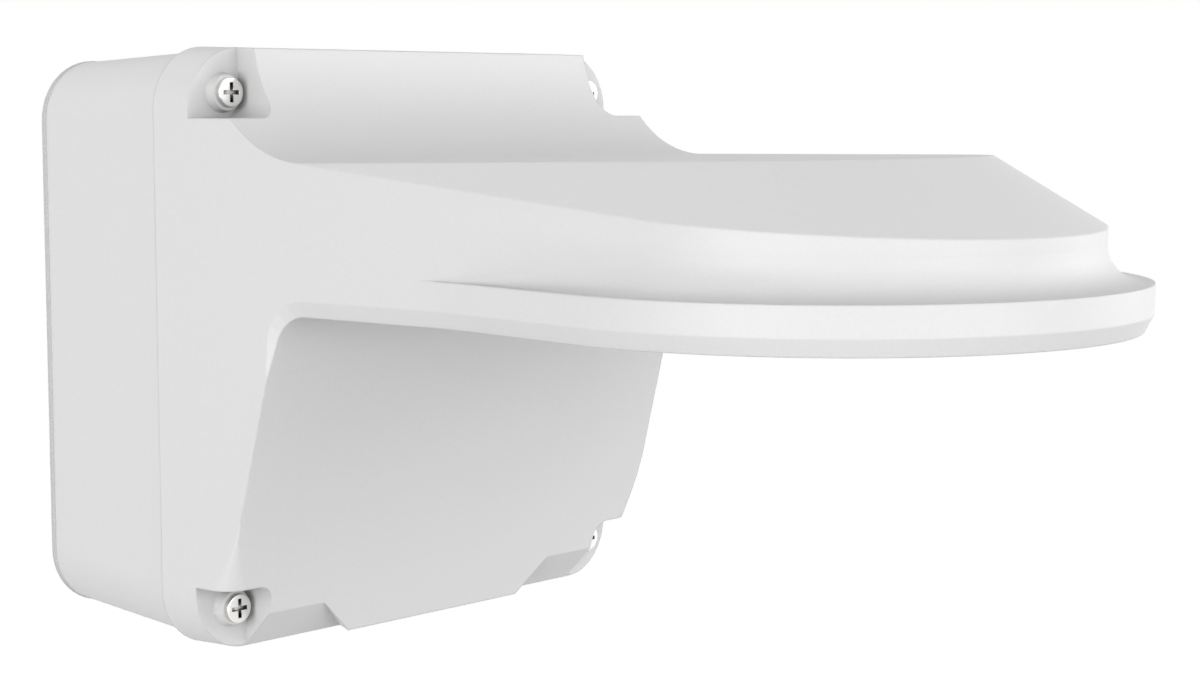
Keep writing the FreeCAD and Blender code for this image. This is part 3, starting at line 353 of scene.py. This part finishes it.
def foam_sheet(half, corner, thick, bulge, cable_hole, wall_hole, step):
    """A square sheet with rounded corners and five round holes. Each hole has a cell whose edge
    is a closed line: a diamond round the middle hole, and what is left of a quarter of the sheet
    round each corner hole. A cell's point is its edge's point moved towards the hole's middle,
    by a share, on the front face and back again on the other. The outer edge is a half wave:
    height goes with the sine and the bulge with the cosine of one angle."""
    steps = 12  # along each straight run and each rounded corner
    run = np.linspace(0, 1, steps, endpoint=False)[:, None]
    turn = np.linspace(0, math.pi / 2, steps, endpoint=False)
    arc = half - corner + corner * np.stack([np.cos(turn), np.sin(turn)], axis=-1)
    flat = half - corner
    edge = np.vstack([(half, 0) + run * (0, flat), arc, (flat, half) - run * (flat, 0)])
    outward = np.vstack([np.tile((1.0, 0.0), (steps, 1)), (arc - flat) / corner,
                         np.tile((0.0, 1.0), (steps, 1))])
    diagonal = (0, step) + run * (step, -step)
    cell = np.vstack([(step, 0) + run * (half - step, 0), edge,
                      (0, half) - run * (0, half - step), diagonal])
    quarters = [np.array(((c, s), (-s, c))) for c, s in ((1, 0), (0, 1), (-1, 0), (0, -1))]
    middle = np.vstack([diagonal[::-1] @ q for q in quarters])
    middle = middle[np.argsort(np.arctan2(middle[:, 1], middle[:, 0]))]
    holes = [(middle, np.zeros(2), cable_hole / 2)]
    holes += [(cell @ q, np.array((step, step)) @ q, wall_hole / 2) for q in quarters]
    share = np.array((0, 0.5, 0.9, 1, 1, 0.9, 0.5, 0))[:, None, None]
    level = np.array((1, 1, 1, 1, 0, 0, 0, 0))[:, None, None] * thick
    points, quads, count = [], [], 0
    for line, centre, radius in holes:
        spoke = line - centre
        hole = centre + spoke / np.linalg.norm(spoke, axis=1)[:, None] * radius
        flat_points = line + (hole - line) * share
        points.append(np.dstack([flat_points, level * np.ones((1, len(line), 1))]))
        quads.append(grid_faces(len(share), len(line), False) + count)
        count += points[-1].size // 3
    rim = np.vstack([edge @ q for q in quarters])
    normal = np.vstack([outward @ q for q in quarters])
    wave = np.linspace(-math.pi / 2, math.pi / 2, 9)[:, None, None]
    swollen = rim + normal * np.cos(wave) * bulge
    height = (1 + np.sin(wave)) / 2 * thick * np.ones((1, len(rim), 1))
    points.append(np.dstack([swollen, height]))
    quads.append(grid_faces(len(wave), len(rim), False) + count)
    return weld(np.vstack([p.reshape(-1, 3) for p in points]), np.vstack(quads))


def middle_of(node):
    """Middle of a node's box, and its lowest and highest corner."""
    low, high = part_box(node)
    return (low + high) / 2, low, high


class CoatLook(bpy.types.PropertyGroup):
    """Powder coat on the castings."""

    coat_colour: bpy.props.StringProperty(
        name="Coat", description="Colour of the powder coat, sRGB hex", default="#E3E3E3")
    pit_colour: bpy.props.StringProperty(
        name="Coat in its pits", description="Colour where the coat lies deeper",
        default="#DCDCDC")
    # Painted shade: the grey that the coat's colour turns to deep in a hollow.
    hollow_shade_colour: bpy.props.StringProperty(
        name="Coat in hollows", description="Colour of the thin coat deep in a hollow",
        default="#AEAEAE")
    # Painted shade: how far around the surface the walls that darken it are looked for, in
    # millimetres.
    hollow_shade_reach: bpy.props.FloatProperty(
        name="Hollow reach", description="How far walls keep the powder away, in millimetres",
        default=14.0)
    roughness: bpy.props.FloatProperty(
        name="Roughness", description="Middle roughness of the coat",
        default=0.5, min=0.1, max=1.0, subtype="FACTOR")
    grain_size: bpy.props.FloatProperty(
        name="Grain", description="Width of the coat's fine grain, in millimetres", default=0.8)
    grain_height: bpy.props.FloatProperty(
        name="Grain height", description="Height of the fine grain, in millimetres", default=0.05)
    grain_strength: bpy.props.FloatProperty(
        name="Grain strength", description="How strongly the grain shows",
        default=0.3, min=0.0, max=1.0, subtype="FACTOR")
    flow_size: bpy.props.FloatProperty(
        name="Orange peel", description="Width of the orange peel's waves, in millimetres",
        default=3.5)
    flow_height: bpy.props.FloatProperty(
        name="Orange peel height", description="Height of those waves, in millimetres",
        default=0.05)
    flow_strength: bpy.props.FloatProperty(
        name="Orange peel strength", description="How strongly the waves show",
        default=0.25, min=0.0, max=1.0, subtype="FACTOR")
    edge_radius: bpy.props.FloatProperty(
        name="Edge rounding", description="Radius of the coated edges, in millimetres",
        default=0.8)


class SoftLook(bpy.types.PropertyGroup):
    """Foam and rubber."""

    foam_colour: bpy.props.StringProperty(
        name="Foam", description="Colour of the foam's skin, sRGB hex", default="#DADAD9")
    cell_colour: bpy.props.StringProperty(
        name="Foam cells", description="Colour inside the foam's cells", default="#BDBDBC")
    cell_size: bpy.props.FloatProperty(
        name="Cell size", description="Width of the foam's cells, in millimetres", default=0.5)
    foam_corner: bpy.props.FloatProperty(
        name="Foam corner", description="Corner radius of the foam sheet, in millimetres",
        default=17.0)
    foam_bulge: bpy.props.FloatProperty(
        name="Foam bulge", default=0.25,
        description="How far the pressed foam swells at its edge, in millimetres")
    foam_cable_hole: bpy.props.FloatProperty(
        name="Foam cable hole", description="Diameter of the sheet's middle hole, in millimetres",
        default=36.0)
    foam_wall_hole: bpy.props.FloatProperty(
        name="Foam screw holes", default=6.5,
        description="Diameter of the sheet's corner holes, in millimetres")
    wall_hole_step: bpy.props.FloatProperty(
        name="Screw hole step", default=50.0,
        description="Distance of those holes from the middle, across and up, in millimetres")
    rubber_colour: bpy.props.StringProperty(
        name="Rubber", description="Colour of the rubber parts, sRGB hex", default="#19191A")
    rear_hole: bpy.props.FloatProperty(
        name="Rear hole", default=30.0,
        description="Diameter of the hole in the box's back wall, in millimetres")
    plate_hole: bpy.props.FloatProperty(
        name="Plate hole", description="Diameter of the hole in the camera plate, in millimetres",
        default=34.0)
    grommet_bore: bpy.props.FloatProperty(
        name="Grommet bore", description="Diameter of the grommets' cable bore, in millimetres",
        default=10.0)
    rear_groove: bpy.props.FloatVectorProperty(
        name="Rear groove", size=2, default=(3.5, 2.5),
        description="Thickness of the wall in the rear grommet's groove and of the lip in front "
        "of it, in millimetres")
    plate_groove: bpy.props.FloatVectorProperty(
        name="Plate groove", size=2, default=(3.2, 1.6),
        description="Thickness of the plate in the other grommet's groove and of the lip below "
        "it, in millimetres")


class ScrewLook(bpy.types.PropertyGroup):
    """Pan head screws and plug."""

    nickel_colour: bpy.props.StringProperty(
        name="Nickel", description="Colour of the nickel plate, sRGB hex", default="#D6D5D2")
    # Painted shade: the near black that the cross recess is painted with.
    recess_shade_colour: bpy.props.StringProperty(
        name="Recess steel", description="Colour of the steel deep in the recess, sRGB hex",
        default="#2E2E2E")
    roughness: bpy.props.FloatProperty(
        name="Roughness", description="Middle roughness of the plate",
        default=0.28, min=0.05, max=1.0, subtype="FACTOR")
    head_height: bpy.props.FloatProperty(
        name="Head height", description="Height of the heads, in millimetres", default=1.7)
    head_rounding: bpy.props.FloatProperty(
        name="Head rounding", description="Radius of the head's upper edge, in millimetres",
        default=0.35)
    shank_size: bpy.props.FloatProperty(
        name="Shank", description="Diameter of the thread, in millimetres", default=4.0)
    waist_size: bpy.props.FloatProperty(
        name="Waist", description="Diameter of the cover screws' waist, in millimetres",
        default=3.0)
    waist_length: bpy.props.FloatProperty(
        name="Waist length", description="Length of the cover screws' waist, in millimetres",
        default=16.6)
    recess_length: bpy.props.FloatProperty(
        name="Recess length", description="Length of the cross recess, in millimetres",
        default=5.3)
    recess_width: bpy.props.FloatProperty(
        name="Recess width", description="Width of the cross recess, in millimetres", default=1.15)
    recess_depth: bpy.props.FloatProperty(
        name="Recess depth", description="Depth of the cross recess, in millimetres", default=1.2)
    plug_head: bpy.props.FloatProperty(
        name="Plug head", description="Thickness of the conduit plug's head, in millimetres",
        default=4.0)
    plug_thread: bpy.props.FloatProperty(
        name="Plug thread", description="Diameter of the conduit plug's thread, in millimetres",
        default=23.8)
    plug_socket: bpy.props.FloatProperty(
        name="Plug socket", description="Width over flats of the plug's socket, in millimetres",
        default=12.0)


class StageLook(bpy.types.PropertyGroup):
    """Floor, lamps and camera."""

    floor_drop: bpy.props.FloatProperty(
        name="Floor drop", description="How far the floor lies below the bracket", default=0.8,
        unit="LENGTH")
    floor_colour: bpy.props.StringProperty(
        name="Floor", description="Colour of the floor, sRGB hex", default="#ACACAC")
    floor_lift: bpy.props.FloatProperty(
        name="Floor lift", description="How much brighter the floor looks than it is lit",
        default=0.96)
    world_strength: bpy.props.FloatProperty(
        name="Room light", description="Strength of the even light of the room", default=0.1)
    lens: bpy.props.FloatProperty(
        name="Lens", description="Focal length of the camera", default=70.08, unit="CAMERA")
    place: bpy.props.FloatVectorProperty(
        name="Camera place", description="Where the camera stands", subtype="TRANSLATION",
        default=(-0.4646, -0.5715, 0.0673))
    direction: bpy.props.FloatVectorProperty(
        name="Camera direction", description="Where the camera looks", subtype="DIRECTION",
        default=(0.7320, 0.6734, -0.1026))
    up: bpy.props.FloatVectorProperty(
        name="Camera up", description="The upright of the camera's picture", subtype="DIRECTION",
        default=(0.0755, 0.0695, 0.9947))


# Softboxes: azimuth and elevation in degrees, distance and side in metres, power in watts.
# Azimuth 0 is in front of the arm and 90 on its right.
SOFTBOXES = {
    "front_high_softbox": (15.0, 38.0, 1.7, 1.2, 3.6),
    "front_softbox": (0.0, 5.0, 1.7, 1.2, 12.9),
    "right_softbox": (60.0, 8.0, 1.7, 1.2, 9.8),
    "right_high_softbox": (60.0, 20.0, 1.7, 1.2, 3.3),
    "left_softbox": (-80.0, 4.0, 1.7, 1.0, 17.8),
    "left_rear_softbox": (-125.0, -2.0, 1.7, 1.0, 2.6),
    "left_front_softbox": (-40.0, 8.0, 1.7, 1.0, 3.8),
    "rear_high_softbox": (180.0, 60.0, 1.7, 1.2, 7.2),
    "rear_softbox": (180.0, 3.0, 1.7, 1.2, 8.8),
}


class BRACKET_OT_castings(bpy.types.Operator):
    """Coat cover and box with white powder"""

    bl_idname = "bracket.castings"
    bl_label = "Castings"

    def execute(self, context):
        coat = powder_coated_aluminium(context.scene.bracket_coat)
        for name in CASTINGS:
            wear(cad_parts[name], coat)
        return {"FINISHED"}


class BRACKET_OT_screws(bpy.types.Operator):
    """Make the nickelled pan head screws and their washer"""

    bl_idname = "bracket.screws"
    bl_label = "Screws"

    def execute(self, context):
        look = context.scene.bracket_screw
        nickel = nickel_plated_steel(look)
        flank = math.atan(look.recess_width / look.recess_length)
        quarter = np.arange(4) * math.pi / 2
        turn = np.linspace(0, 2 * math.pi, 96, endpoint=False)
        turn = np.unique(np.round(np.concatenate(
            [turn, quarter + flank, np.mod(quarter - flank, 2 * math.pi)]), 9))
        reach = cross_reach(turn, look.recess_length, look.recess_width)
        # In millimetres: the bevel of the thread's tip, the step to the waist, the bevels under
        # the head and round its lower edge, and the recess's draft.
        tip, step, fillet, burr, draft = 0.6, 0.01, 0.1, 0.12, 0.05
        for name in SCREWS:
            middle, low, high = middle_of(name)
            radius = (high.x - low.x) / 2 / MM
            length = (high.y - low.y) / MM - look.head_height
            shank = waist = look.shank_size / 2
            # Only the cover's screws have a waist, which keeps them in the cover's holes.
            neck = 1.0
            if name != "earth_screw":
                waist, neck = look.waist_size / 2, look.waist_length
            outside = rounded_profile([
                (shank - tip, -length, 0), (shank, -length + tip, 0), (shank, -neck, 0),
                (waist, -neck + step, 0), (waist, -fillet, 0), (waist + fillet, 0, 0),
                (radius - burr, 0, 0), (radius, burr, 0),
                (radius, look.head_height, look.head_rounding),
                (radius * 0.8, look.head_height, 0),
            ])
            centre = (middle.x, low.y + look.head_height * MM, middle.z)
            piece = turned_solid(name + "_nickelled", outside, reach,
                                 look.head_height - look.recess_depth, draft, centre,
                                 OUT_OF_WALL, turn)
            wear(piece, nickel)
            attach(piece, "root")
            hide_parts(name)
        wear(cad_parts["earth_washer"], nickel)
        return {"FINISHED"}


class BRACKET_OT_plug(bpy.types.Operator):
    """Make the conduit plug with its socket"""

    bl_idname = "bracket.plug"
    bl_label = "Conduit plug"

    def execute(self, context):
        look = context.scene.bracket_screw
        middle, low, high = middle_of("conduit_plug")
        head, length = (high.x - low.x) / 2 / MM, (high.z - low.z) / MM
        turn = np.linspace(0, 2 * math.pi, 96, endpoint=False)
        thread, end = look.plug_thread / 2, look.plug_head - length
        # In millimetres: the bevels of the thread's tip and under the head, the rounding of the
        # head, and the socket's depth and draft.
        tip, burr, rounding, depth, draft = 1, 0.3, 0.9, 6, 0.1
        outside = rounded_profile([
            (thread - tip, end, 0), (thread, end + tip, 0), (thread, 0, 0), (head - burr, 0, 0),
            (head, burr, 0), (head, look.plug_head, rounding), (head * 0.7, look.plug_head, 0),
        ])
        centre = (middle.x, middle.y, low.z + look.plug_head * MM)
        piece = turned_solid("conduit_plug_coated", outside,
                             hexagon_reach(turn, look.plug_socket), look.plug_head - depth,
                             draft, centre, DOWNWARDS, turn)
        wear(piece, bpy.data.materials["powder_coated_aluminium"])
        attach(piece, "root")
        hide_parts("conduit_plug")
        return {"FINISHED"}


class BRACKET_OT_soft_parts(bpy.types.Operator):
    """Make the foam gasket, the finish of the rubber seals and the two grommets"""

    bl_idname = "bracket.soft_parts"
    bl_label = "Foam and rubber"

    def grommet(self, name, neck, groove, axes, material, look):
        """A ring with a lip on each side of the wall that its groove holds."""
        middle, low, high = middle_of(name)
        size = high - low
        along = 2 if axes is DOWNWARDS else 1
        outer, thick = size.x / 2 / MM, size[along] / MM
        bore = look.grommet_bore / 2
        wall, near_lip = groove
        far, near = thick - near_lip - wall, thick - near_lip
        mouth, brim, inner = 0.9, 0.7, 0.3  # roundings of the bore's ends and of the lips
        profile = rounded_profile([
            (bore, 0, mouth), (outer, 0, brim), (outer, far, inner), (neck, far, 0),
            (neck, near, 0), (outer, near, inner), (outer, thick, brim), (bore, thick, mouth),
        ])
        centre = Vector(middle)
        centre[along] = high[along]
        piece = turned_ring(name + "_moulded", profile, centre, axes)
        wear(piece, material)
        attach(piece, "root")
        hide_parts(name)

    def execute(self, context):
        look = context.scene.bracket_soft
        middle, low, high = middle_of("wall_gasket")
        points, quads = foam_sheet((high.x - low.x) / 2 / MM, look.foam_corner,
                                   (high.y - low.y) / MM, look.foam_bulge, look.foam_cable_hole,
                                   look.foam_wall_hole, look.wall_hole_step)
        gasket = mesh_piece("wall_gasket_foam", points, quads, [], (middle.x, high.y, middle.z),
                            OUT_OF_WALL, SHARP_SOFT)
        wear(gasket, closed_cell_foam(look))
        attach(gasket, "root")
        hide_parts("wall_gasket")
        seal = moulded_rubber("seal_rubber", look, bloom="#262627")
        for name in SEALS:
            wear(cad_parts[name], seal)
        rubber = moulded_rubber("grommet_rubber", look, bloom="#2B2B2C")
        self.grommet("rear_grommet", look.rear_hole / 2, look.rear_groove, OUT_OF_WALL, rubber,
                     look)
        self.grommet("plate_grommet", look.plate_hole / 2, look.plate_groove, DOWNWARDS, rubber,
                     look)
        return {"FINISHED"}


class BRACKET_OT_stage(bpy.types.Operator):
    """Set up floor, room, softboxes and camera"""

    bl_idname = "bracket.stage"
    bl_label = "Stage"

    def floor(self, look):
        """A pale floor that is white to the camera's eye and keeps the bracket's shadow."""
        reach = 12.0
        level = CAD_BOX[0][2] - look.floor_drop
        corners = [(-reach, -reach, level), (reach, -reach, level), (reach, reach, level),
                   (-reach, reach, level)]
        mesh = bpy.data.meshes.new("studio_floor")
        mesh.from_pydata(corners, [], [(0, 1, 2, 3)])
        floor = bpy.data.objects.new("studio_floor", mesh)
        bpy.context.scene.collection.objects.link(floor)
        material, output = new_material("painted_studio_floor")
        tree = material.node_tree
        paint = add_node(tree, "ShaderNodeBsdfDiffuse")
        paint.inputs["Color"].default_value = linear(look.floor_colour)
        lift = add_node(tree, "ShaderNodeEmission", {}, {"Strength": seen_directly(tree)})
        lift.inputs["Color"].default_value = (*[look.floor_lift] * 3, 1.0)
        both = add_node(tree, "ShaderNodeAddShader")
        tree.links.new(paint.outputs["BSDF"], both.inputs[0])
        tree.links.new(lift.outputs["Emission"], both.inputs[1])
        tree.links.new(both.outputs["Shader"], output.inputs["Surface"])
        wear(floor, material)

    def room(self, look):
        """Even light all round; white to the camera and in reflections."""
        world = bpy.data.worlds.new("studio_room")
        world.use_nodes = True
        tree = world.node_tree
        tree.nodes.clear()
        strength = add_node(tree, "ShaderNodeMapRange",
                            {"To Min": look.world_strength, "To Max": 1.0},
                            {"Value": seen_directly(tree)})
        white = add_node(tree, "ShaderNodeBackground", {},
                         {"Strength": strength.outputs["Result"]})
        white.inputs["Color"].default_value = (1.0, 1.0, 1.0, 1.0)
        output = add_node(tree, "ShaderNodeOutputWorld", {},
                          {"Surface": white.outputs["Background"]})
        output.is_active_output = True
        bpy.context.scene.world = world

    def softboxes(self):
        """Square lamps that face the arm's middle."""
        target = Vector((0.0, -0.14, 0.0))
        for name, (azimuth, elevation, distance, side, power) in SOFTBOXES.items():
            turn, lift = math.radians(azimuth), math.radians(elevation)
            away = Vector((math.sin(turn) * math.cos(lift), -math.cos(turn) * math.cos(lift),
                           math.sin(lift)))
            light = bpy.data.lights.new(name, "AREA")
            light.shape, light.size, light.energy = "SQUARE", side, power
            lamp = bpy.data.objects.new(name, light)
            lamp.location = target + away * distance
            lamp.rotation_euler = (-away).to_track_quat("-Z", "Y").to_euler()
            lamp.visible_camera = False
            bpy.context.scene.collection.objects.link(lamp)

    def camera(self, look):
        """The camera at the photograph's viewpoint."""
        camera = bpy.data.objects.new("camera", bpy.data.cameras.new("camera"))
        camera.data.lens, camera.data.sensor_width = look.lens, 36.0
        camera.data.sensor_fit = "HORIZONTAL"
        camera.data.clip_start, camera.data.clip_end = 0.01, 50.0
        forward, up = Vector(look.direction).normalized(), Vector(look.up)
        right = forward.cross(up).normalized()
        axes = Matrix((right, right.cross(forward), -forward)).transposed()
        camera.matrix_world = Matrix.Translation(look.place) @ axes.to_4x4()
        bpy.context.scene.collection.objects.link(camera)
        bpy.context.scene.camera = camera

    def execute(self, context):
        look = context.scene.bracket_stage
        self.camera(look)
        self.floor(look)
        self.room(look)
        self.softboxes()
        context.scene.view_settings.view_transform = "Standard"
        return {"FINISHED"}


class BRACKET_PT_panel(bpy.types.Panel):
    """The bracket's pieces and their sizes"""

    bl_idname = "BRACKET_PT_panel"
    bl_label = "Camera Bracket"
    bl_space_type = "VIEW_3D"
    bl_region_type = "UI"
    bl_category = "Bracket"

    def draw(self, context):
        for operators, group in ((("bracket.castings",), "bracket_coat"),
                                 (("bracket.screws", "bracket.plug"), "bracket_screw"),
                                 (("bracket.soft_parts",), "bracket_soft"),
                                 (("bracket.stage",), "bracket_stage")):
            box = self.layout.box()
            for operator in operators:
                box.operator(operator)
            look = getattr(context.scene, group)
            for name in look.__annotations__:
                box.prop(look, name)


GROUPS = {"bracket_coat": CoatLook, "bracket_soft": SoftLook, "bracket_screw": ScrewLook,
          "bracket_stage": StageLook}
OPERATORS = (BRACKET_OT_castings, BRACKET_OT_screws, BRACKET_OT_plug, BRACKET_OT_soft_parts,
             BRACKET_OT_stage)


def register():
    for item in (*GROUPS.values(), *OPERATORS, BRACKET_PT_panel):
        bpy.utils.register_class(item)
    for name, group in GROUPS.items():
        setattr(bpy.types.Scene, name, bpy.props.PointerProperty(type=group))


def unregister():
    for name in GROUPS:
        delattr(bpy.types.Scene, name)
    for item in reversed((*GROUPS.values(), *OPERATORS, BRACKET_PT_panel)):
        bpy.utils.unregister_class(item)


def main():
    register()
    bpy.ops.bracket.castings()
    bpy.ops.bracket.screws()
    bpy.ops.bracket.plug()
    bpy.ops.bracket.soft_parts()
    bpy.ops.bracket.stage()
    bpy.context.view_layer.update()


if __name__ == "__main__":
    main()
